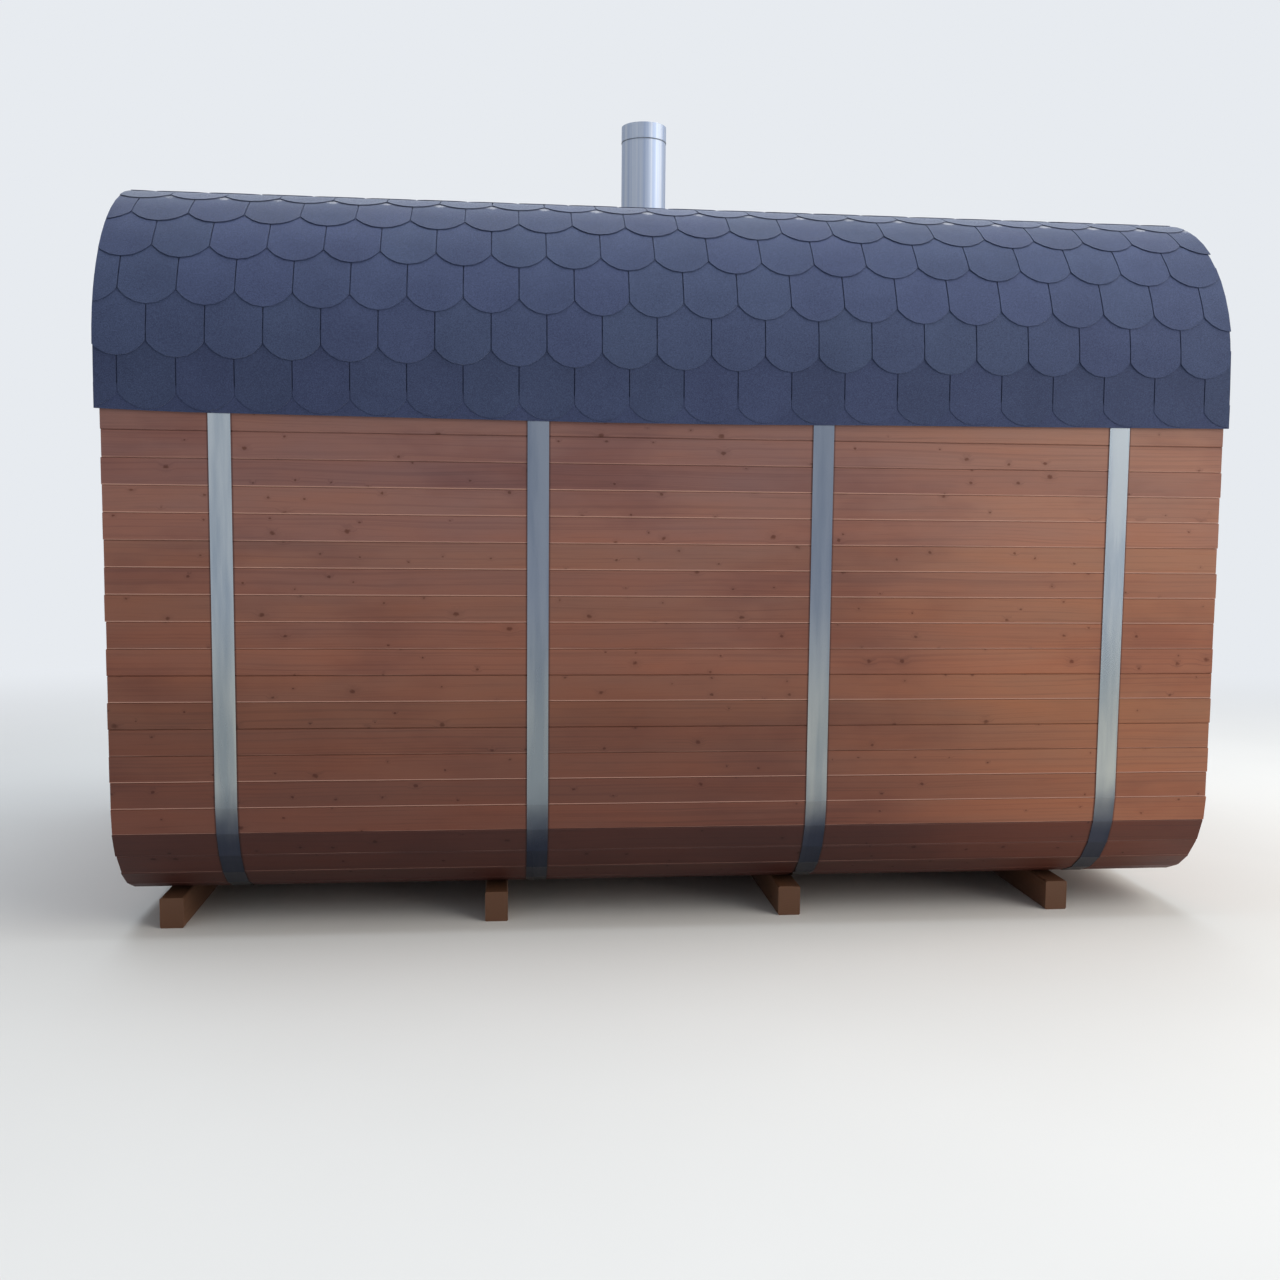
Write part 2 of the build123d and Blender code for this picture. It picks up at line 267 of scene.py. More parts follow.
def addBump(tree, shader, height, strength, distance):
    bump = tree.nodes.new("ShaderNodeBump")
    bump.inputs["Strength"].default_value = strength
    bump.inputs["Distance"].default_value = distance
    join(tree, height, bump.inputs["Height"])
    join(tree, bump.outputs[0], shader.inputs["Normal"])


def dress(material, *names):
    for name in names:
        obj = nodes[name]
        obj.data.materials.clear()
        obj.data.materials.append(material)


# Grain and knots of spruce, shared by every timber finish
timberGrain = {
    # Scale along and across the board, detail and roughness of each pattern
    "sway": (0.9, 3.0, 2.0, 0.5),
    "rings": (0.35, 95.0, 2.0, 0.6),
    "fibres": (7.0, 480.0, 3.0, 0.65),
    "flames": (2.6, 150.0, 3.0, 0.6),
    "blotch": (1.6, 9.0, 3.0, 0.55),
    # Where a pattern's late wood starts, where it is full, and how strong it is
    "late": {"rings": (0.50, 0.66, 0.28), "flames": (0.54, 0.70, 0.26), "fibres": (0.48, 0.78, 0.22)},
    "swayReach": 0.055,
    "blotchTone": 1.5,
    # Knots sit in some cells of a coarse pattern, sizes are shares of a cell
    "cells": 9.0,
    "cellStretch": 0.75,
    "smallKnot": 0.036,
    "knotRange": 0.072,
    "knotBias": 3.2,       # high where most knots are small
    "knotCore": 0.3,
    "wobbleScale": 90.0,
    "wobble": 0.10,
    "haloSize": 3.0,
    "haloSwerve": 0.010,
    "haloDark": 0.16,
    "knotDark": 0.76,
}


def boardNoise(tree, board, offset):
    # White noise that stays the same over one board
    noise = tree.nodes.new("ShaderNodeTexWhiteNoise")
    noise.noise_dimensions = "1D"
    join(tree, plus(tree, board, offset), noise.inputs["W"])
    return noise.outputs


def makeTimberGroup(s):
    inputs = [("Along", "value"), ("Across", "value"), ("Board", "value"), ("Stain", "colour"),
              ("Late", "colour"), ("Knot", "colour"), ("Spread", "value"), ("Knots", "value")]
    outputs = [("Colour", "colour"), ("Roughness", "value"), ("Height", "value")]
    group, given, result = newGroup("stainedSpruce", inputs, outputs)
    toneOfBoard, shiftOfBoard, redOfBoard = separate(group, boardNoise(group, given["Board"], 0.37)["Color"])
    along = timesPlus(group, shiftOfBoard, 61.0, given["Along"])
    across = timesPlus(group, redOfBoard, 3.0, given["Across"])

    cells = group.nodes.new("ShaderNodeTexVoronoi")
    cells.voronoi_dimensions = "2D"
    cells.inputs["Scale"].default_value = s["cells"]
    join(group, vector(group, times(group, along, s["cellStretch"]), across), cells.inputs["Vector"])
    chance, sizeChance, _ = separate(group, cells.outputs["Color"])
    hasKnot = maths(group, "LESS_THAN", chance, given["Knots"])
    wobble = minus(group, cloud(group, vector(group, along, across), s["wobbleScale"], 2.0), 0.5)
    reach = timesPlus(group, wobble, s["wobble"], cells.outputs["Distance"])
    size = maths(group, "POWER", sizeChance, s["knotBias"])
    size = timesPlus(group, size, s["knotRange"], s["smallKnot"])
    knot = times(group, span(group, reach, size, times(group, size, s["knotCore"])), hasKnot)
    halo = times(group, span(group, reach, times(group, size, s["haloSize"]), size), hasKnot)

    # Growth rings drawn out along the board, swerving round each knot
    sway = times(group, drawnCloud(group, along, across, s["sway"]), s["swayReach"])
    ringPlace = plus(group, across, timesPlus(group, halo, s["haloSwerve"], sway))
    patterns = {word: drawnCloud(group, along, ringPlace, s[word]) for word in s["late"]}
    blotch = drawnCloud(group, along, across, s["blotch"])
    colour = given["Stain"]
    for word, (start, full, strength) in s["late"].items():
        late = times(group, span(group, patterns[word], start, full), strength)
        colour = blend(group, late, colour, given["Late"])
    colour = blend(group, times(group, halo, s["haloDark"]), colour, given["Late"])
    colour = blend(group, times(group, knot, s["knotDark"]), colour, given["Knot"])

    # Each board has its own tone and a slightly redder or yellower hue
    tone = plus(group, minus(group, toneOfBoard, 0.5), times(group, minus(group, blotch, 0.5), s["blotchTone"]))
    hue = group.nodes.new("ShaderNodeHueSaturation")
    hueInputs = {
        "Hue": timesPlus(group, redOfBoard, 0.006, 0.496),
        "Saturation": timesPlus(group, blotch, 0.22, 0.89),
        "Value": timesPlus(group, tone, given["Spread"], 1.0),
        "Color": colour,
    }
    for label, value in hueInputs.items():
        join(group, value, hue.inputs[label])
    join(group, hue.outputs[0], result["Colour"])
    rough = timesPlus(group, patterns["fibres"], 0.22, 0.44)
    join(group, timesPlus(group, knot, 0.16, rough), result["Roughness"])
    height = timesPlus(group, patterns["fibres"], 0.5, times(group, patterns["rings"], 0.5))
    join(group, timesPlus(group, knot, 0.4, height), result["Height"])
    return group


timberGroup = makeTimberGroup(timberGrain)


def useTimber(tree, s, along, across, board):
    return useGroup(tree, timberGroup, Along=along, Across=across, Board=board, Stain=s["stain"],
                    Late=s["late"], Knot=s["knot"], Spread=s["spread"], Knots=s["knots"])


# The joint under a board: a painted highlight along its lower edge, and darker in the groove above: painted
# shade with some dirt
boardJoint = {
    "patches": (1.3, 1.0, 3.0, 0.6),   # scale along, from board to board, detail and roughness
    "highlightRange": (0.55, 1.15),
    "lowEdge": (0.0046, 0.0032),
    "highEdge": (0.0030, 0.0010),
    "grooveDarkAmount": 0.35,
}


def makeJointGroup(s):
    inputs = [("Colour", "colour"), ("Across", "value"), ("Width", "value"), ("Along", "value"),
              ("Board", "value"), ("Bare", "colour"), ("Dirt", "colour"), ("BareAmount", "value")]
    group, given, result = newGroup("boardJoint", inputs, [("Colour", "colour")])
    ofBoard = times(group, boardNoise(group, given["Board"], 7.61)["Value"], 0.9)
    patches = drawnCloud(group, given["Along"], given["Board"], s["patches"])
    amount = span(group, plus(group, ofBoard, times(group, patches, 1.1)), *s["highlightRange"])
    low = span(group, given["Across"], *s["lowEdge"])
    high = span(group, minus(group, given["Width"], given["Across"]), *s["highEdge"])
    # Painted highlight on each board's lower edge, where its bevel faces down
    paleWoodAndHighlight = times(group, times(group, low, amount), given["BareAmount"])
    colour = blend(group, paleWoodAndHighlight, given["Colour"], given["Bare"])
    # Painted shade with some dirt in the groove above the board
    join(group, blend(group, times(group, high, s["grooveDarkAmount"]), colour, given["Dirt"]), result["Colour"])
    return group


jointGroup = makeJointGroup(boardJoint)

boardFinish = {
    "stain": (0.230, 0.092, 0.056, 1),
    "late": (0.112, 0.041, 0.028, 1),
    "knot": (0.080, 0.019, 0.007, 1),
    # pale wood for the end grain, and the painted highlight at the joints
    "paleWoodAndHighlight": (0.520, 0.300, 0.235, 1),
    # darker in the groove at each joint: painted shade with some dirt
    "paintedDark": (0.062, 0.024, 0.019, 1),
    "spread": 0.22,
    "knots": 0.66,
    "cloud": (0.78, 0.71, 0.74, 1),
    # painted shade for the corner staves that face down
    "paintedShade": (0.44, 0.32, 0.34, 1),
    "specular": 0.34,
}

# Painted light and shade on the long walls: colours, and where each starts and is full, in metres
paintedLight = {
    "litTowardsDoor": (1.36, 1.33, 1.10, 1),
    "hazeHighUp": (0.91, 1.11, 1.50, 1),
    "shadeLowDown": (0.60, 0.52, 0.52, 1),
    "bandShadow": (0.50, 0.44, 0.46, 1),
    "litTowardsDoorAlong": (0.4, 2.0),
    "hazeHeight": (1.25, 2.05),
    "shadeLowDownHeight": (1.60, 0.70),
    "driftScale": 1.4,
    "drift": 0.5,
    "shadeLiftedWhereLit": 0.60,
    "bandShadowStart": 0.0075,
    "bandShadowFull": 0.0035,
}


def flatRows(tree, coord, start, width):
    # Number of the board and the way across it from its lower edge, on a flat wall
    steps = maths(tree, "DIVIDE", minus(tree, coord, start), width)
    return maths(tree, "FLOOR", steps), times(tree, maths(tree, "FRACT", steps), width)


def arcRows(tree, y, z, centreY, centreZ, step, width, upwards):
    # The same round a corner, whose staves each turn by one step in degrees
    out = minus(tree, maths(tree, "ABSOLUTE", y), centreY)
    rise = minus(tree, z, centreZ)
    if not upwards:
        rise = times(tree, rise, -1.0)
    steps = maths(tree, "DIVIDE", maths(tree, "ARCTAN2", rise, out), math.radians(step))
    part = maths(tree, "FRACT", steps)
    if not upwards:
        part = minus(tree, 1.0, part)
    return maths(tree, "FLOOR", steps), times(tree, part, width)


def addPaintedLight(tree, colour, place, x, z, w):
    # Painted light: lighter towards the door end, and a bluish haze high up; painted shade: darker low down,
    # less so where lit
    drift = times(tree, cloud(tree, place, w["driftScale"]), w["drift"])
    height = plus(tree, z, drift)
    litTowardsDoor = span(tree, plus(tree, x, drift), *w["litTowardsDoorAlong"])
    shadeKept = timesPlus(tree, litTowardsDoor, -w["shadeLiftedWhereLit"], 1.0)
    shadeLowDown = times(tree, span(tree, height, *w["shadeLowDownHeight"]), shadeKept)
    colour = tint(tree, litTowardsDoor, colour, w["litTowardsDoor"])
    colour = tint(tree, span(tree, height, *w["hazeHeight"]), colour, w["hazeHighUp"])
    return tint(tree, shadeLowDown, colour, w["shadeLowDown"])


def addBandShadow(tree, colour, x, w):
    # Painted shadow beside both edges of each band
    for middle in bandPlaces:
        fromBand = maths(tree, "ABSOLUTE", minus(tree, x, middle))
        bandShadow = span(tree, fromBand, bandHalf + w["bandShadowStart"], bandHalf + w["bandShadowFull"])
        colour = tint(tree, bandShadow, colour, w["bandShadow"])
    return colour


def makeBoards(name, rows, width, seed, s=boardFinish, upright=False, highlightAmount=0.95, paintedShadeFrom=None,
               withPaintedLight=False):
    material, tree, shader = newMaterial(name)
    place, x, y, z = objectPlace(tree)
    row, across = rows(tree, y, z)
    along = z if upright else x
    farSide = maths(tree, "GREATER_THAN", x if upright else y, 0.0)
    board = plus(tree, row, timesPlus(tree, farSide, 53.0, seed))
    timber = useTimber(tree, s, along, across, board)
    # Soft clouds lie over several boards
    drifted = vector(tree, times(tree, x, 1.0 if upright else 0.45), y, z)
    clouded = span(tree, cloud(tree, drifted, 2.4, 4.0, 0.6), 0.44, 0.68)
    colour = tint(tree, clouded, timber["Colour"], s["cloud"])
    if withPaintedLight:
        # Painted light and shade: lighter towards the door end, bluish high up, darker low down
        colour = addPaintedLight(tree, colour, place, x, z, paintedLight)
    if paintedShadeFrom is not None:
        # Painted shade on the lower corner staves that face down, from the second stave on
        colour = tint(tree, maths(tree, "GREATER_THAN", row, paintedShadeFrom), colour, s["paintedShade"])
    colour = useGroup(tree, jointGroup, Colour=colour, Across=across, Width=width, Along=along, Board=board,
                      Bare=s["paleWoodAndHighlight"], Dirt=s["paintedDark"], BareAmount=highlightAmount)["Colour"]
    if withPaintedLight:
        # Painted shadow beside the bands
        colour = addBandShadow(tree, colour, x, paintedLight)
    # End grain where the boards are sawn off
    heart = cloud(tree, vector(tree, times(tree, board, 3.7), y, z), 9.0, 1.0)
    endRings = maths(tree, "SINE", times(tree, heart, 260.0))
    endGrain = blend(tree, timesPlus(tree, endRings, 0.18, 0.38), s["paleWoodAndHighlight"], s["late"])
    colour = blend(tree, times(tree, facesAlong(tree, 2 if upright else 0), 0.8), colour, endGrain)
    finish(tree, shader, colour, timber["Roughness"], Specular_IOR_Level=s["specular"])
    addBump(tree, shader, timber["Height"], 0.35, 0.0006)
    return material


staveWidth = shell["staveWidth"]
lowerStep = 90 / shell["lowerCornerStaves"]
upperStep = 90 / shell["upperCornerStaves"]
upperStaveWidth = 2 * shell["upperRadius"] * math.sin(math.pi / (4 * shell["upperCornerStaves"]))


def wallRows(tree, y, z):
    return flatRows(tree, z, shell["wallBottom"], staveWidth)


def levelRows(tree, y, z):
    return flatRows(tree, y, 0.0, staveWidth)


def lowerRows(tree, y, z):
    return arcRows(tree, y, z, shell["halfFloor"], shell["wallBottom"], lowerStep, staveWidth, False)


def upperRows(tree, y, z):
    return arcRows(tree, y, z, shell["halfRoof"], shell["wallTop"], upperStep, upperStaveWidth, True)


wallBoards = makeBoards("wallBoards", wallRows, staveWidth, 3.0, withPaintedLight=True)
lowerCornerBoards = makeBoards("lowerCornerBoards", lowerRows, staveWidth, 131.0, highlightAmount=1.4, paintedShadeFrom=0.5,
                               withPaintedLight=True)
upperCornerBoards = makeBoards("upperCornerBoards", upperRows, upperStaveWidth, 211.0)
levelBoards = makeBoards("levelBoards", levelRows, staveWidth, 307.0)
endWallBoards = makeBoards("endWallBoards", levelRows, staveWidth, 401.0, upright=True, highlightAmount=0.15)
dress(wallBoards, "near_wall_staves", "far_wall_staves")
dress(lowerCornerBoards, "near_lower_corner_staves", "far_lower_corner_staves")
dress(upperCornerBoards, "near_upper_corner_staves", "far_upper_corner_staves")
dress(levelBoards, "floor_staves", "roof_staves")
dress(endWallBoards, "blind_end_boards", "door_end_boards")
print("board finishes made")


# Foot beams: sawn and stained, with end grain on the cut ends
beamFinish = {
    "stain": (0.116, 0.053, 0.028, 1),
    "late": (0.072, 0.033, 0.018, 1),
    "knot": (0.050, 0.024, 0.016, 1),
    "spread": 0.25,
    "knots": 0.2,
    "specular": 0.3,
    "heart": 0.05,        # the beams' ends are cut this far from the heart of the tree
    "heartShift": 0.12,   # and up to this much further, from beam to beam
    "ringsPerMetre": 1900.0,
}


def makeBeamMaterial(s):
    material, tree, shader = newMaterial("footBeamWood")
    place, x, y, z = objectPlace(tree)
    beam = maths(tree, "FLOOR", times(tree, x, 1.7))
    timber = useTimber(tree, s, y, plus(tree, x, z), beam)
    shift = times(tree, maths(tree, "SINE", times(tree, x, 3.1)), s["heartShift"])
    reach = bothLength(tree, plus(tree, shift, s["heart"]), plus(tree, z, s["heart"]))
    reach = timesPlus(tree, cloud(tree, place, 14.0, 2.0), 0.008, reach)
    rings = maths(tree, "SINE", times(tree, reach, s["ringsPerMetre"]))
    endGrain = blend(tree, timesPlus(tree, rings, 0.16, 0.2), s["stain"], s["late"])
    colour = blend(tree, facesAlong(tree, 1), timber["Colour"], endGrain)
    finish(tree, shader, colour, timber["Roughness"], Specular_IOR_Level=s["specular"])
    addBump(tree, shader, timber["Height"], 0.5, 0.001)
    return material


dress(makeBeamMaterial(beamFinish), "foot_beam_1", "foot_beam_2", "foot_beam_3", "foot_beam_4")


# Rolled steel sheet: soft streaks and smudges
def makeSteelGroup():
    inputs = [("Place", "vector"), ("Colour", "colour"), ("Shade", "colour"), ("Smooth", "value"),
              ("Mottle", "value")]
    outputs = [("Colour", "colour"), ("Roughness", "value"), ("Height", "value")]
    group, given, result = newGroup("rolledSteel", inputs, outputs)
    streaks = cloud(group, given["Place"], 1.0, 4.0, 0.6)
    smudge = cloud(group, given["Place"], given["Mottle"], 3.0, 0.55)
    tone = span(group, timesPlus(group, smudge, 0.7, times(group, streaks, 0.5)), 0.42, 0.80)
    join(group, blend(group, tone, given["Colour"], given["Shade"]), result["Colour"])
    rough = timesPlus(group, streaks, 0.12, given["Smooth"])
    join(group, timesPlus(group, smudge, 0.10, rough), result["Roughness"])
    join(group, streaks, result["Height"])
    return group


steelGroup = makeSteelGroup()

# stretch draws the streaks out along x, y and z, and round a pipe's middle where pipe is given
steelFinishes = {
    # On the bands and the chimney the bluer shade of the streaks and smudges is partly painted reflection
    "band": {"colour": (0.42, 0.46, 0.49, 1), "shade": (0.25, 0.30, 0.36, 1), "smooth": 0.14,
             "stretch": (16.0, 1.5, 1.5), "mottle": 0.5, "bump": 0.02},
    "chimney": {"colour": (0.43, 0.46, 0.51, 1), "shade": (0.25, 0.31, 0.44, 1), "smooth": 0.46,
                "stretch": (5.0, 5.0, 0.4), "mottle": 0.6, "bump": 0.06, "pipe": True},
    "flashing": {"colour": (0.30, 0.32, 0.35, 1), "shade": (0.25, 0.27, 0.30, 1), "smooth": 0.40,
                 "stretch": (9.0, 9.0, 9.0), "mottle": 1.6, "bump": 0.06},
    # the seam's dark colour is painted shade under the top ring
    "seam": {"colour": (0.16, 0.18, 0.21, 1), "shade": (0.08, 0.09, 0.11, 1), "smooth": 0.3,
             "stretch": (9.0, 9.0, 9.0), "mottle": 0.6, "bump": 0.06},
}

# Painted reflection on the bands: the two middle ones darker, all four warmer low down and darker near the
# ground
bandPaintedReflection = {
    "middle": (0.54, 0.56, 0.64, 1),
    "dustAndSheen": (1.00, 0.95, 0.84, 1),
    "paintedDark": (0.25, 0.26, 0.34, 1),
    "middleReach": (1.15, 0.85),
    "dustAndSheenHeight": (1.55, 0.95),
    "paintedDarkHeight": (0.66, 0.40),
    "middleWhereDustAndSheen": -0.8,
}


def addPaintedReflection(tree, colour, place, x, z, s):
    dustAndSheenShare = span(tree, timesPlus(tree, cloud(tree, place, 1.2), 0.4, z), *s["dustAndSheenHeight"])
    groundReflection = span(tree, timesPlus(tree, cloud(tree, place, 4.0), 0.16, z), *s["paintedDarkHeight"])
    middle = span(tree, maths(tree, "ABSOLUTE", x), *s["middleReach"])
    middle = times(tree, middle, timesPlus(tree, dustAndSheenShare, s["middleWhereDustAndSheen"], 1.0))
    colour = tint(tree, maths(tree, "MAXIMUM", middle, groundReflection), colour, s["middle"])
    colour = tint(tree, dustAndSheenShare, colour, s["dustAndSheen"])
    return tint(tree, groundReflection, colour, s["paintedDark"])


def makeSteel(name, s, paintedReflection=None):
    material, tree, shader = newMaterial(name)
    place, x, y, z = objectPlace(tree)
    parts = [x, y, z]
    if s.get("pipe"):
        angle = maths(tree, "ARCTAN2", y, minus(tree, x, shell["chimney"]))
        parts = [maths(tree, "SINE", angle), maths(tree, "COSINE", angle), z]
    spot = vector(tree, *(times(tree, part, share) for part, share in zip(parts, s["stretch"])))
    steel = useGroup(tree, steelGroup, Place=spot, Colour=s["colour"], Shade=s["shade"], Smooth=s["smooth"],
                     Mottle=s["mottle"])
    # Painted reflection on the bands
    colour = addPaintedReflection(tree, steel["Colour"], place, x, z, paintedReflection) if paintedReflection else steel["Colour"]
    finish(tree, shader, colour, steel["Roughness"], Metallic=1.0)
    addBump(tree, shader, steel["Height"], s["bump"], 0.0004)
    return material


bandSteel = makeSteel("bandSteel", steelFinishes["band"], bandPaintedReflection)
chimneySteel = makeSteel("chimneySteel", steelFinishes["chimney"])
flashingSteel = makeSteel("flashingSteel", steelFinishes["flashing"])
seamSteelWithShade = makeSteel("seamSteelWithShade", steelFinishes["seam"])
dress(bandSteel, *bandNames)
dress(chimneySteel, "chimney_sleeve", "chimney_top_ring", "chimney_flue")
dress(flashingSteel, "chimney_flashing", "chimney_ceiling_plate")
print("steel finishes made")


# Door finishes
doorFinishes = {
    "frame": dict(boardFinish, stain=(0.230, 0.092, 0.055, 1), spread=0.18, knots=0.10),
    "leaf": dict(boardFinish, stain=(0.250, 0.100, 0.060, 1), spread=0.18, knots=0.10),
    "handle": dict(boardFinish, stain=(0.47, 0.30, 0.16, 1), late=(0.33, 0.19, 0.10, 1), spread=0.18,
                   knots=0.10),
    "glass": ((0.40, 0.34, 0.28), (0.46, 0.40, 0.34)),
    "hingePaint": ((0.016, 0.016, 0.017), (0.030, 0.030, 0.031)),
}


def makeDoorTimber(name, s, board):
    material, tree, shader = newMaterial(name)
    x, y, z = objectPlace(tree)[1:]
    timber = useTimber(tree, s, z, timesPlus(tree, x, 0.4, y), board)
    finish(tree, shader, timber["Colour"], timber["Roughness"])
    addBump(tree, shader, timber["Height"], 0.3, 0.0005)
    return material


def makeGlass(clear, smeared):
    material, tree, shader = newMaterial("doorGlass")
    smear = cloud(tree, objectPlace(tree)[0], 3.0, 4.0, 0.6)
    colour = shades(tree, smear, [(0.3, clear), (0.7, smeared)])
    finish(tree, shader, colour, timesPlus(tree, smear, 0.05, 0.01), Transmission_Weight=1.0, IOR=1.5)
    return material


def makePaint(dark, pale):
    material, tree, shader = newMaterial("hingePaint")
    grain = cloud(tree, objectPlace(tree)[0], 900.0, 2.0)
    finish(tree, shader, shades(tree, grain, [(0.3, dark), (0.7, pale)]), timesPlus(tree, grain, 0.2, 0.4))
    addBump(tree, shader, grain, 0.2, 0.0003)
    return material


dress(makeDoorTimber("doorFrameWood", doorFinishes["frame"], 611.0), "door_frame")
dress(makeDoorTimber("doorLeafWood", doorFinishes["leaf"], 631.0), "door_leaf")
dress(makeDoorTimber("handleWood", doorFinishes["handle"], 659.0), "door_handle")
dress(makeGlass(*doorFinishes["glass"]), "door_glass")
dress(makePaint(*doorFinishes["hingePaint"]), "door_hinges")
print("door finishes made")


# Bitumen shingle: slate granules, each tab its own shade
shingleFinish = {
    "base": (0.032, 0.044, 0.104, 1),
    "pale": (0.066, 0.089, 0.182, 1),
    "dark": (0.017, 0.024, 0.058, 1),
    "dustAndSheen": (0.22, 0.24, 0.28, 1),
    "greener": (0.95, 1.01, 0.92, 1),
    "scuff": (0.36, 0.37, 0.41, 1),
    "stops": (0.15, 0.48, 0.9),
    "granules": 620.0,
    "granuleTone": 0.55,
    "driftTone": 0.35,
    "tabTone": 0.05,
    "palerAlong": (-1.8, -0.5),
    "palerBy": 0.05,
    "scuffHeight": 0.216,
    "scuffReach": (0.052, 0.002),
    "scuffAmount": 0.64,
    "dustAndSheenAmount": 0.42,
    "specular": 0.28,
    "sheen": 0.42,
    "sheenRoughness": 0.24,
    "sheenTint": (0.80, 0.88, 1.0, 1),
}


def makeShingleMaterial(s):
    material, tree, shader = newMaterial("bitumenShingle")
    place, x, y, z = objectPlace(tree)
    grains = tree.nodes.new("ShaderNodeTexVoronoi")
    grains.inputs["Scale"].default_value = s["granules"]
    join(tree, place, grains.inputs["Vector"])
    shadeOfGrain, roughOfGrain, _ = separate(tree, grains.outputs["Color"])
    drift = cloud(tree, place, 5.0, 4.0, 0.6)
    tone = faceValue(tree, "tabTone")
    amount = timesPlus(tree, shadeOfGrain, s["granuleTone"], times(tree, drift, s["driftTone"]))
    amount = plus(tree, amount, timesPlus(tree, tone, s["tabTone"], 0.125))
    amount = timesPlus(tree, span(tree, x, *s["palerAlong"]), s["palerBy"], amount)
    colours = (s["dark"], s["base"], s["pale"])
    colour = shades(tree, times(tree, amount, 0.8), list(zip(s["stops"], colours)))
    greener = maths(tree, "FRACT", times(tree, tone, 7.3))
    colour = tint(tree, times(tree, greener, 0.7), colour, s["greener"])
    # Dust, partly painted sheen, on the tabs marked for it
    colour = blend(tree, times(tree, faceValue(tree, "tabDustAndSheen"), s["dustAndSheenAmount"]), colour, s["dustAndSheen"])
    # Pale scuffs under the notches of the course above, on the tabs marked for them
    onTab = tree.nodes.new("ShaderNodeUVMap")
    onTab.uv_map = "tabPlace"
    fromNotch = tree.nodes.new("ShaderNodeVectorMath")
    fromNotch.operation = "DISTANCE"
    join(tree, onTab.outputs[0], fromNotch.inputs[0])
    fromNotch.inputs[1].default_value = (0.0, s["scuffHeight"], 0.0)
    near = span(tree, fromNotch.outputs["Value"], *s["scuffReach"])
    near = times(tree, near, faceValue(tree, "tabScuff"))
    patch = cloud(tree, vector(tree, times(tree, x, 2.6), y, z), 80.0, 3.0, 0.7)
    scuff = span(tree, timesPlus(tree, near, 0.62, patch), 0.80, 1.02)
    colour = blend(tree, times(tree, scuff, s["scuffAmount"]), colour, s["scuff"])
    finish(tree, shader, colour, timesPlus(tree, roughOfGrain, 0.25, 0.66), Specular_IOR_Level=s["specular"],
           Sheen_Weight=s["sheen"], Sheen_Roughness=s["sheenRoughness"], Sheen_Tint=s["sheenTint"])
    addBump(tree, shader, timesPlus(tree, drift, 2.0, grains.outputs["Distance"]), 0.35, 0.0012)
    return material


bitumenShingle = makeShingleMaterial(shingleFinish)

covering = {
    "courses": 10,
    "tabWidth": 0.1974,
    "firstJoint": -1.986,     # joint of the second course nearest the blind end
    "farShift": 0.31,         # of a tab's width, on the far side
    "endReach": 2.0668,
    "endSpread": 0.004,
    "butt": 0.0110,           # height of a tab over the shell at its lower edge
    "thin": 0.0085,           # and where the next course starts
    "tabThickness": 0.0021,
    "roundRise": 0.055,       # how far the rounded end falls below its corners
    "eaveStep": 0.005,        # starter strip seen below the first course
    "slit": 0.0042,
    "columns": 8,
    "overlap": 0.052,
    "curl": 0.0010,
    "seed": 41,
    "eaveWave": ((-2.07, 0.0105), (-1.8, 0.002), (-1.0, -0.004), (-0.3, -0.009), (0.2, -0.008), (0.7, -0.002),
                 (1.4, 0.003), (2.07, 0.009)),
    "waveReach": 0.45,
    # Tone steps from course to course, partly painted light and shade for how light falls on each course
    "courseTonesAndLight": (-0.1, 2.8, 3.0, 1.2, -2.0, -0.4, 0, 0, 0, 0),
    # Dust on the upper courses; on those that turn towards the crown it is partly painted sheen
    "dustAndSheen": ((0, 0), (0.00, 0.08), (0.22, 0.46), (0.20, 0.44), (0.18, 0.42), (0.16, 0.40), (0.16, 0.40)),
    "dustAndSheenFrom": 3,            # course that the first pair of dust belongs to
    "scuffedCourse": 4,
    "curledCourse": 6,
}
slopeFlat = shell["wallTop"] - shell["eave"]
slopeCurve = shell["upperRadius"] * math.pi / 2
slopeLength = slopeFlat + slopeCurve + shell["halfRoof"] - 0.0003
exposure = (slopeLength - covering["eaveStep"]) / covering["courses"]
chimneyGap = {"left": -0.23, "right": 0.15, "half": 0.1915}


def roofPoint(distance, height):
    # Point on the near side of the roof, so far along from the eave and so high above the shell
    if distance <= slopeFlat:
        return -shell["wallOutside"] - height, shell["eave"] + distance
    if distance >= slopeFlat + slopeCurve:
        return distance - slopeFlat - slopeCurve - shell["halfRoof"], shell["top"] + height
    angle = (distance - slopeFlat) / shell["upperRadius"]
    reach = shell["upperRadius"] + height
    return -shell["halfRoof"] - reach * math.cos(angle), shell["wallTop"] + reach * math.sin(angle)


def eaveRise(x, distance):
    # The felt hangs a little in the middle of the eave and lifts at its ends, less so further up
    stops = covering["eaveWave"]
    rise = stops[0][1] if x < stops[0][0] else stops[-1][1]
    for (left, leftRise), (right, rightRise) in zip(stops, stops[1:]):
        if left <= x <= right:
            rise = leftRise + (rightRise - leftRise) * (x - left) / (right - left)
    return rise * max(0.0, 1 - distance / covering["waveReach"])


def curveShare(distance):
    # 0 on the flat parts of the roof, 1 well inside the curve
    inside = min(distance - slopeFlat, slopeFlat + slopeCurve - distance)
    return max(0.0, min(1.0, inside / 0.12))


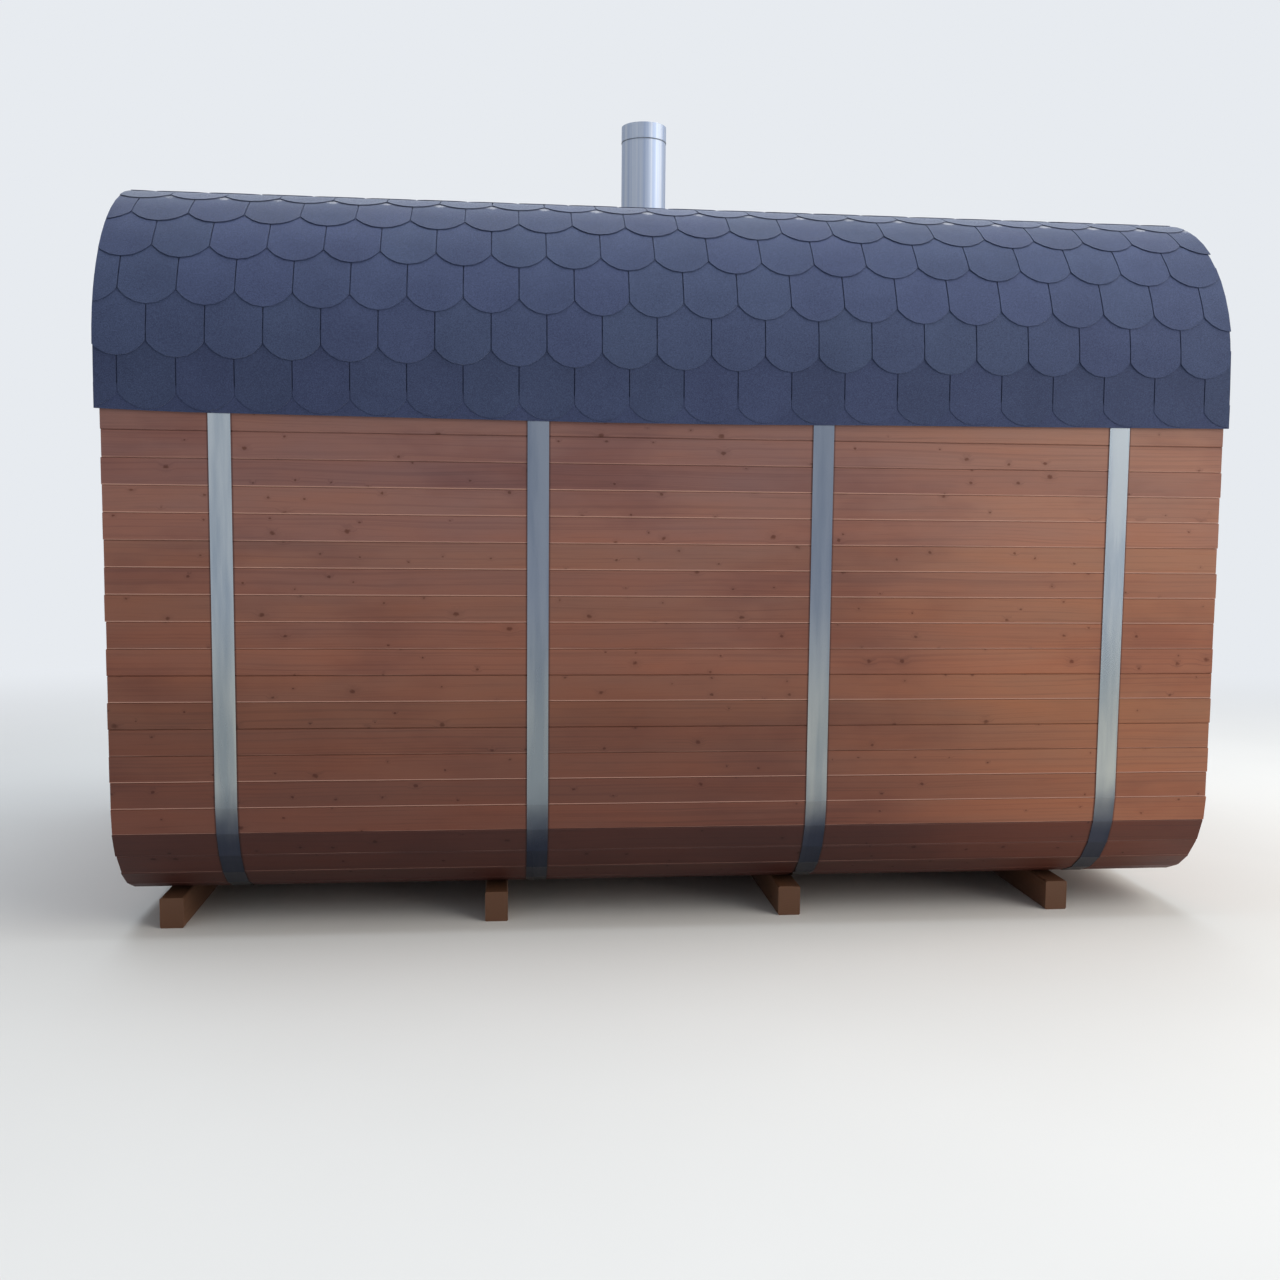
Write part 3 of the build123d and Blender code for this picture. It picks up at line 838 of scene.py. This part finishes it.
def thicken(sheet, thickness):
    # Turns a sheet's faces away from the sauna, then gives it its thickness inwards
    middleHeight = 1.6
    sheet.normal_update()
    outward = 0.0
    for face in sheet.faces:
        middle = face.calc_center_median()
        outward += face.normal.dot(Vector((0, middle.y, middle.z - middleHeight))) * face.calc_area()
    if outward < 0:
        bmesh.ops.reverse_faces(sheet, faces=sheet.faces)
        sheet.normal_update()
    bmesh.ops.solidify(sheet, geom=sheet.faces[:], thickness=thickness)
    bmesh.ops.recalc_face_normals(sheet, faces=sheet.faces)


def addTo(bm, part):
    # Adds one finished part to the piece and gives back its faces there
    mesh = bpy.data.meshes.new("part")
    part.to_mesh(mesh)
    part.free()
    before = len(bm.faces)
    bm.from_mesh(mesh)
    bpy.data.meshes.remove(mesh)
    bm.faces.ensure_lookup_table()
    return bm.faces[before:]


def cutAt(sheet, x, direction):
    # Takes off what lies beyond x
    geometry = sheet.verts[:] + sheet.edges[:] + sheet.faces[:]
    bmesh.ops.bisect_plane(sheet, geom=geometry, plane_co=(x, 0, 0), plane_no=(direction, 0, 0),
                           clear_outer=True)


def cutTab(left, cutLeft, cutRight, length, rows, s):
    # A flat tab with x along the roof and y up the slope, its share of the length kept in z
    width = s["tabWidth"]
    right = left + width
    middle = (left + right) / 2
    half = width / 2 - s["slit"] / 2
    arc = ((width / 2) ** 2 + s["roundRise"] ** 2) / (2 * s["roundRise"])
    tab = bmesh.new()
    bmesh.ops.create_grid(tab, x_segments=s["columns"], y_segments=rows, size=0.5)
    for vert in tab.verts:
        share = math.sin(vert.co.x * math.pi)
        edge = arc - math.sqrt(arc * arc - (share * width / 2) ** 2)
        part = vert.co.y + 0.5
        vert.co = (middle + share * half, edge + (length - edge) * part, part)
    if cutLeft > left:
        cutAt(tab, cutLeft, -1)
    if cutRight < right:
        cutAt(tab, cutRight, 1)
    spots = tab.loops.layers.uv.new("tabPlace")
    for face in tab.faces:
        for loop in face.loops:
            loop[spots].uv = (loop.vert.co.x - middle, loop.vert.co.y)
    return tab, middle, half


def bendTab(tab, middle, half, tip, side, lift, corners, s):
    # Bends a flat tab over the shell, with its lower edge lifted and its corners curled
    for vert in tab.verts:
        x, up, part = vert.co
        acrossTab = (x - middle) / half
        fall = max(0.0, 1 - part * 2.6)
        height = s["butt"] - (s["butt"] - s["thin"]) * up / exposure
        height += lift * fall * (0.5 + 0.5 * abs(acrossTab))
        height += corners[0 if acrossTab < 0 else 1] * fall * max(0.0, abs(acrossTab) - 0.55) * 2
        y, z = roofPoint(tip + up + eaveRise(x, tip + up), height)
        vert.co = (x, y * -side, z)


def tabPieces(left, right, tip, reach, endLeft, endRight):
    # A tab is one piece, cut short at the chimney, or two beside it: left and right end, and length
    leftEnd, rightEnd = max(left, endLeft), min(right, endRight)
    gapLeft, gapRight = chimneyGap["left"], chimneyGap["right"]
    gapLow = slopeLength - chimneyGap["half"]
    overChimney = right > gapLeft and left < gapRight
    if overChimney and tip >= gapLow - 0.02:
        return [(leftEnd, min(right, gapLeft), reach), (max(left, gapRight), rightEnd, reach)]
    if overChimney and tip + reach > gapLow:
        return [(leftEnd, rightEnd, gapLow - tip)]
    return [(leftEnd, rightEnd, reach)]


def layCourse(bm, course, side, s, rng, layers):
    tip = s["eaveStep"] + course * exposure
    width = s["tabWidth"]
    shift = width / 2 if course % 2 else 0.0
    if side > 0:
        shift += width * s["farShift"]
    first = s["firstJoint"] + shift - 3 * width
    lastCourse = course == s["courses"] - 1
    reach = slopeLength - tip if lastCourse else exposure + s["roundRise"] + s["overlap"]
    rows = 4 if curveShare(tip + exposure / 2) > 0 else 2
    spread = s["endSpread"]
    endLeft = -s["endReach"] + rng.uniform(0, spread)
    endRight = s["endReach"] - rng.uniform(0, spread)
    curled = curveShare(tip + 0.05) + (1.5 if course == s["curledCourse"] else 0)
    for number in range(26):
        left = first + number * width
        right = left + width
        if right < endLeft + spread or left > endRight - spread:
            continue
        tone = rng.random() + s["courseTonesAndLight"][course]
        lift = s["curl"] * curveShare(tip) * rng.uniform(0.35, 1.0)
        corners = [rng.uniform(0.2, 1.0) * s["curl"] * curled for _ in range(2)]
        worn = rng.uniform(0.7, 1.0) if course == s["scuffedCourse"] else 0.0
        dustAndSheenShare = rng.uniform(*s["dustAndSheen"][max(0, course - s["dustAndSheenFrom"])])
        for cutLeft, cutRight, length in tabPieces(left, right, tip, reach, endLeft, endRight):
            if cutRight - cutLeft < 0.006:
                continue
            tab, middle, half = cutTab(left, cutLeft, cutRight, length, rows, s)
            bendTab(tab, middle, half, tip, side, lift, corners, s)
            thicken(tab, s["tabThickness"])
            for face in addTo(bm, tab):
                for layer, value in zip(layers, (tone, worn, dustAndSheenShare)):
                    face[layer] = value


def finishPiece(bm, name, material, replaced=(), smoothAngle=None):
    mesh = bpy.data.meshes.new(name)
    bm.to_mesh(mesh)
    bm.free()
    mesh.materials.append(material)
    obj = linkObject(name, mesh)
    if smoothAngle is not None:
        mesh.shade_smooth()
        mesh.set_sharp_from_angle(angle=math.radians(smoothAngle))
    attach(obj, "root")
    if replaced:
        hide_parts(*replaced)
    return obj


def layShingles(side, name, replaced, s=covering):
    rng = random.Random(s["seed"] + side)
    bm = bmesh.new()
    bm.loops.layers.uv.new("tabPlace")
    layers = [bm.faces.layers.float.new(word) for word in ("tabTone", "tabScuff", "tabDustAndSheen")]
    for course in range(s["courses"]):
        layCourse(bm, course, side, s, rng, layers)
    obj = finishPiece(bm, name, bitumenShingle, (replaced,), smoothAngle=38)
    print(name, len(obj.data.polygons), "faces")


layShingles(-1, "near_tabs", "near_shingle_courses")
layShingles(1, "far_tabs", "far_shingle_courses")


# Felt under the tabs: how far it runs up the slope, its height over the shell, and where it stops short
topOfOpening = slopeLength - chimneyGap["half"]
felt = {
    "starter": {"start": 0.0, "end": 0.09, "height": 0.0086, "thickness": 0.003, "parts": 1, "short": 0.001,
                "columns": 40},
    "underlay": {"start": 0.03, "end": topOfOpening, "height": 0.0046, "thickness": 0.002, "parts": 26,
                 "short": 0.004},
    "ridge_underlay": {"start": topOfOpening, "end": slopeLength, "height": 0.0046, "thickness": 0.002,
                       "parts": 1, "short": 0.004, "gap": True},
}


def layStrip(name, side, s):
    # A strip of felt that follows the roof line, in two halves where the chimney stands
    reach = covering["endReach"] - s["short"]
    columns = s.get("columns", 1)
    spans = [(-reach, reach)]
    if s.get("gap"):
        spans = [(-reach, chimneyGap["left"]), (chimneyGap["right"], reach)]
    bm = bmesh.new()
    for left, right in spans:
        strip = bmesh.new()
        bmesh.ops.create_grid(strip, x_segments=columns, y_segments=s["parts"], size=0.5)
        for vert in strip.verts:
            x = left + (vert.co.x + 0.5) * (right - left)
            up = s["start"] + (vert.co.y + 0.5) * (s["end"] - s["start"])
            y, z = roofPoint(up + (eaveRise(x, up) if columns > 1 else 0), s["height"])
            vert.co = (x, y * -side, z)
        thicken(strip, s["thickness"])
        addTo(bm, strip)
    finishPiece(bm, name, bitumenShingle, smoothAngle=38)


for side, word in ((-1, "near"), (1, "far")):
    for kind, settings in felt.items():
        layStrip(f"{word}_{kind}", side, settings)


# Ridge caps, lapped along the crown and stopped either side of the flashing
ridge = {
    "width": 0.25,
    "exposure": 0.16,
    "length": 0.215,
    "thickness": 0.0022,
    "high": 0.0151,
    "fall": 0.0016,         # over one exposure, towards the lapped end
    "flashingHalf": 0.2355,
    "ragged": 0.0006,
    "tones": (-1.0, 2.0),
    "dustAndSheen": (0.15, 0.45),
    "seed": 5,
}


def layRidge(s):
    rng = random.Random(s["seed"])
    bm = bmesh.new()
    toneLayer, dustLayer = [bm.faces.layers.float.new(word) for word in ("tabTone", "tabDustAndSheen")]
    for direction in (1, -1):
        # Laid from one end of the crown, then from the other
        outer = -direction * covering["endReach"]
        inner = shell["chimney"] - direction * s["flashingHalf"]
        run = abs(inner - outer) - s["length"]
        count = math.floor(run / s["exposure"]) + 1
        for number in range(count):
            start = outer + direction * number * (run / (count - 1))
            cap = bmesh.new()
            bmesh.ops.create_grid(cap, x_segments=1, y_segments=4, size=0.5)
            for vert in cap.verts:
                part = vert.co.x + 0.5
                x = start + direction * part * s["length"]
                y = vert.co.y * s["width"] + rng.uniform(-s["ragged"], s["ragged"])
                vert.co = (x, y, shell["top"] + s["high"] - part * s["fall"] * s["length"] / s["exposure"])
            thicken(cap, s["thickness"])
            tone, dustAndSheenShare = rng.uniform(*s["tones"]), rng.uniform(*s["dustAndSheen"])
            for face in addTo(bm, cap):
                face[toneLayer] = tone
                face[dustLayer] = dustAndSheenShare
    finishPiece(bm, "ridge_caps", bitumenShingle, ("ridge_cap",))


layRidge(ridge)
print("roof laid")


# Clamp bolts through the band lugs under the floor
boltSettings = {
    "place": 0.420,
    "rise": 0.012,        # over the lugs' lowest point
    "shank": 0.0045,
    "length": 0.092,
    "head": 0.0092,
    "headHeight": 0.006,
    "headInset": 0.010,
    "bevel": 0.0008,
}


def addBolts(s):
    bm = bmesh.new()
    for middle, (low, high) in zip(bandPlaces, bandBoxes):
        bolt = bmesh.new()
        bmesh.ops.create_cone(bolt, cap_ends=True, segments=12, radius1=s["shank"], radius2=s["shank"],
                              depth=s["length"])
        for end in (-1, 1):
            moved = Matrix.Translation((0, 0, end * (s["length"] / 2 - s["headInset"])))
            nut = bmesh.ops.create_cone(bolt, cap_ends=True, segments=6, radius1=s["head"], radius2=s["head"],
                                        depth=s["headHeight"], matrix=moved)
            # The nut's rims are its level edges, each taken once and in order
            edges = dict.fromkeys(edge for vert in nut["verts"] for edge in vert.link_edges)
            rims = [edge for edge in edges if edge.calc_length() < s["head"] * 1.1
                    and abs(edge.verts[0].co.z - edge.verts[1].co.z) < 0.0001]
            bmesh.ops.bevel(bolt, geom=rims, offset=s["bevel"], segments=1, profile=0.5, affect="EDGES",
                            material=-1)
        turn = Matrix.Rotation(math.radians(90), 4, "X")
        moved = Matrix.Translation((middle, s["place"], low.z + s["rise"]))
        bmesh.ops.transform(bolt, matrix=moved @ turn, verts=bolt.verts)
        addTo(bm, bolt)
    finishPiece(bm, "band_clamp_bolts", bandSteel)


addBolts(boltSettings)


# Storm collar over the flashing and the rolled seam under the chimney's top ring; the seam's dark colour is
# painted shade
pipeSettings = {
    "radius": 0.0985,
    "clearance": 0.0004,
    "steps": 64,
    "collar": ((0, 0.004), (0, 0.012), (0.002, 0.012), (0.034, -0.008), (0.034, -0.010)),
    "seam": ((-0.0003, -0.005), (-0.0003, -0.0004), (0.0006, -0.0006), (0.0016, -0.0025), (0.0006, -0.005)),
}


def spinProfile(name, points, height, material, s):
    # Each point is so far out from the pipe and up from the height, and they close to the ring's section
    x = shell["chimney"]
    bm = bmesh.new()
    out = s["radius"] + s["clearance"]
    verts = [bm.verts.new((x + (out + extra), 0, height + up)) for extra, up in points]
    edges = [bm.edges.new(pair) for pair in zip(verts, verts[1:] + verts[:1])]
    bmesh.ops.spin(bm, geom=verts + edges, cent=(x, 0, 0), axis=(0, 0, 1), angle=math.tau, steps=s["steps"],
                   use_merge=True)
    bmesh.ops.remove_doubles(bm, verts=bm.verts, dist=0.00001)
    bmesh.ops.recalc_face_normals(bm, faces=bm.faces)
    finishPiece(bm, name, material, smoothAngle=40)


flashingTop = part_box("chimney_flashing")[1].z
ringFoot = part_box("chimney_top_ring")[0].z
spinProfile("storm_collar", pipeSettings["collar"], flashingTop, flashingSteel, pipeSettings)
spinProfile("top_ring_seam", pipeSettings["seam"], ringFoot, seamSteelWithShade, pipeSettings)
print("small fittings added")


# Floor, backdrop and soft light
stageSettings = {
    "floorColour": (0.69, 0.69, 0.68, 1),
    "floorShade": 0.97,
    "floorHalf": 45,
    "backColour": (0.80, 0.83, 0.87, 1),
    "worldColour": (0.95, 0.97, 1.0, 1),
    "worldStrength": 0.38,
    "fadeStretch": 0.62,
    "fade": (1.9, 8.5),     # metres from the middle at which the floor turns into the backdrop
}
lights = {
    "keyLight": {"place": (9.5, -5.0, 6.2), "aim": (1.4, -1.0, 1.6), "size": (13.0, 12.4), "power": 1540,
                 "colour": (1.0, 0.95, 0.87)},
    "fillLight": {"place": (-8.0, -7.0, 4.5), "aim": (-0.5, -1.0, 1.6), "size": (8.0, 7.0), "power": 40,
                  "colour": (0.92, 0.96, 1.0)},
    "topLight": {"place": (0.0, 1.0, 9.0), "aim": (0.0, 0.0, 2.0), "size": (10.0, 7.0), "power": 760,
                 "colour": (0.86, 0.93, 1.0)},
}


def seenDirectly(tree):
    # 1 for what the camera sees straight, in metal or through glass
    path = tree.nodes.new("ShaderNodeLightPath")
    seen = maths(tree, "ADD", path.outputs["Is Camera Ray"], path.outputs["Is Transmission Ray"], clamp=True)
    return maths(tree, "ADD", seen, path.outputs["Is Glossy Ray"], clamp=True)


def mixInto(tree, factor, first, second, output):
    mix = tree.nodes.new("ShaderNodeMixShader")
    for value, socket in zip((factor, first, second), mix.inputs):
        join(tree, value, socket)
    join(tree, mix.outputs[0], tree.nodes[output].inputs["Surface"])


def addFloor(s):
    bm = bmesh.new()
    bmesh.ops.create_grid(bm, x_segments=1, y_segments=1, size=s["floorHalf"])
    mesh = bpy.data.meshes.new("floor")
    bm.to_mesh(mesh)
    bm.free()
    floor = linkObject("floor", mesh)
    material, tree, shader = newMaterial("studioFloor")
    place, x, y, _ = objectPlace(tree)
    low = [part * s["floorShade"] for part in s["floorColour"][:3]]
    colour = shades(tree, cloud(tree, place, 0.8, 3.0), [(0.3, low), (0.7, s["floorColour"])])
    finish(tree, shader, colour, 0.9)
    away = span(tree, bothLength(tree, times(tree, x, s["fadeStretch"]), y), *s["fade"])
    glow = tree.nodes.new("ShaderNodeEmission")
    glow.inputs["Color"].default_value = s["backColour"]
    mixInto(tree, times(tree, away, seenDirectly(tree)), shader.outputs[0], glow.outputs[0], "Material Output")
    mesh.materials.append(material)


def addWorld(s):
    world = bpy.data.worlds.new("studio")
    scene.world = world
    world.use_nodes = True
    tree = world.node_tree
    lit = tree.nodes["Background"]
    lit.inputs["Strength"].default_value = s["worldStrength"]
    lit.inputs["Color"].default_value = s["worldColour"]
    seen = tree.nodes.new("ShaderNodeBackground")
    seen.inputs["Color"].default_value = s["backColour"]
    mixInto(tree, seenDirectly(tree), lit.outputs[0], seen.outputs[0], "World Output")


def addLight(name, s):
    data = bpy.data.lights.new(name, "AREA")
    data.shape = "RECTANGLE"
    data.size, data.size_y = s["size"]
    data.energy = s["power"]
    data.color = s["colour"]
    aim = Vector(s["aim"]) - Vector(s["place"])
    turn = aim.to_track_quat("-Z", "Y").to_matrix().to_4x4()
    linkObject(name, data).matrix_world = Matrix.Translation(s["place"]) @ turn


addFloor(stageSettings)
addWorld(stageSettings)
for name, settings in lights.items():
    addLight(name, settings)
scene.view_settings.view_transform = "Standard"
print("stage set")
